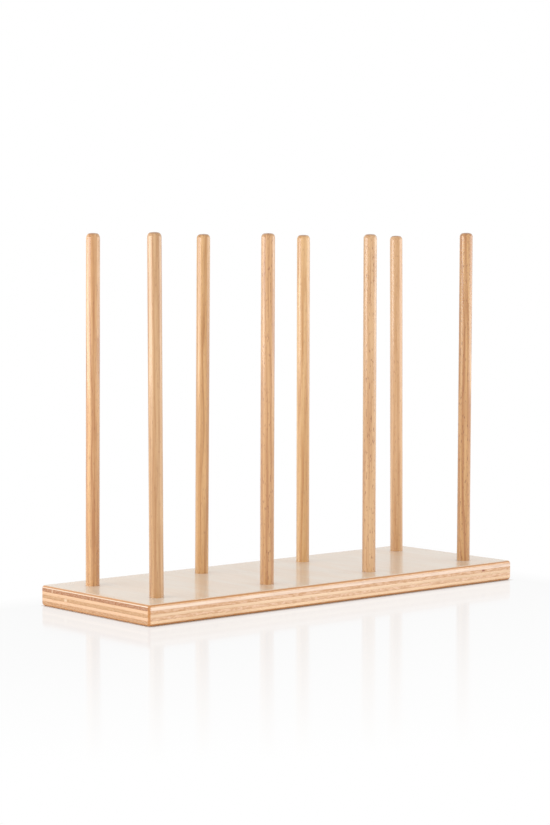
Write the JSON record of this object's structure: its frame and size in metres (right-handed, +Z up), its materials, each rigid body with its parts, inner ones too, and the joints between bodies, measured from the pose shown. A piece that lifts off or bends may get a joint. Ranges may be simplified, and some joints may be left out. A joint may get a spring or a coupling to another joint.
{
  "type": "peg loom",
  "caption": "Tabletop peg loom: two rows of tall round wooden pegs stand in a rectangular plywood base, for weaving yarn around and between the pegs.",
  "frame": {"origin": "middle of the base board's underside, on the surface it stands on", "axes": "+X along the rows of pegs, +Y from the front row to the rear row, +Z up along the pegs"},
  "size_m": [0.424, 0.153, 0.322],
  "materials": {
    "cross_grain_veneer": "light hardwood veneer with its grain across the board, clear satin lacquer",
    "long_grain_veneer": "light hardwood veneer with its grain along the board, clear satin lacquer",
    "peg": "straight-grained light hardwood dowel, clear satin lacquer"
  },
  "bodies": {
    "base": {"top_face_veneer": "cross_grain_veneer", "upper_crossband": "long_grain_veneer", "upper_core_veneer": "cross_grain_veneer", "centre_veneer": "long_grain_veneer", "lower_core_veneer": "cross_grain_veneer", "lower_crossband": "long_grain_veneer", "bottom_face_veneer": "cross_grain_veneer"},
    "peg_front_1": {"peg_front_1": "peg"},
    "peg_front_2": {"peg_front_2": "peg"},
    "peg_front_3": {"peg_front_3": "peg"},
    "peg_front_4": {"peg_front_4": "peg"},
    "peg_rear_1": {"peg_rear_1": "peg"},
    "peg_rear_2": {"peg_rear_2": "peg"},
    "peg_rear_3": {"peg_rear_3": "peg"},
    "peg_rear_4": {"peg_rear_4": "peg"}
  },
  "joints": [
    {"name": "peg_front_1_lift", "type": "slide", "parent": "base", "child": "peg_front_1", "axis": [0, 0, 1], "range_m": [0, 0.02]},
    {"name": "peg_front_2_lift", "type": "slide", "parent": "base", "child": "peg_front_2", "axis": [0, 0, 1], "range_m": [0, 0.02]},
    {"name": "peg_front_3_lift", "type": "slide", "parent": "base", "child": "peg_front_3", "axis": [0, 0, 1], "range_m": [0, 0.02]},
    {"name": "peg_front_4_lift", "type": "slide", "parent": "base", "child": "peg_front_4", "axis": [0, 0, 1], "range_m": [0, 0.02]},
    {"name": "peg_rear_1_lift", "type": "slide", "parent": "base", "child": "peg_rear_1", "axis": [0, 0, 1], "range_m": [0, 0.02]},
    {"name": "peg_rear_2_lift", "type": "slide", "parent": "base", "child": "peg_rear_2", "axis": [0, 0, 1], "range_m": [0, 0.02]},
    {"name": "peg_rear_3_lift", "type": "slide", "parent": "base", "child": "peg_rear_3", "axis": [0, 0, 1], "range_m": [0, 0.02]},
    {"name": "peg_rear_4_lift", "type": "slide", "parent": "base", "child": "peg_rear_4", "axis": [0, 0, 1], "range_m": [0, 0.02]}
  ]
}
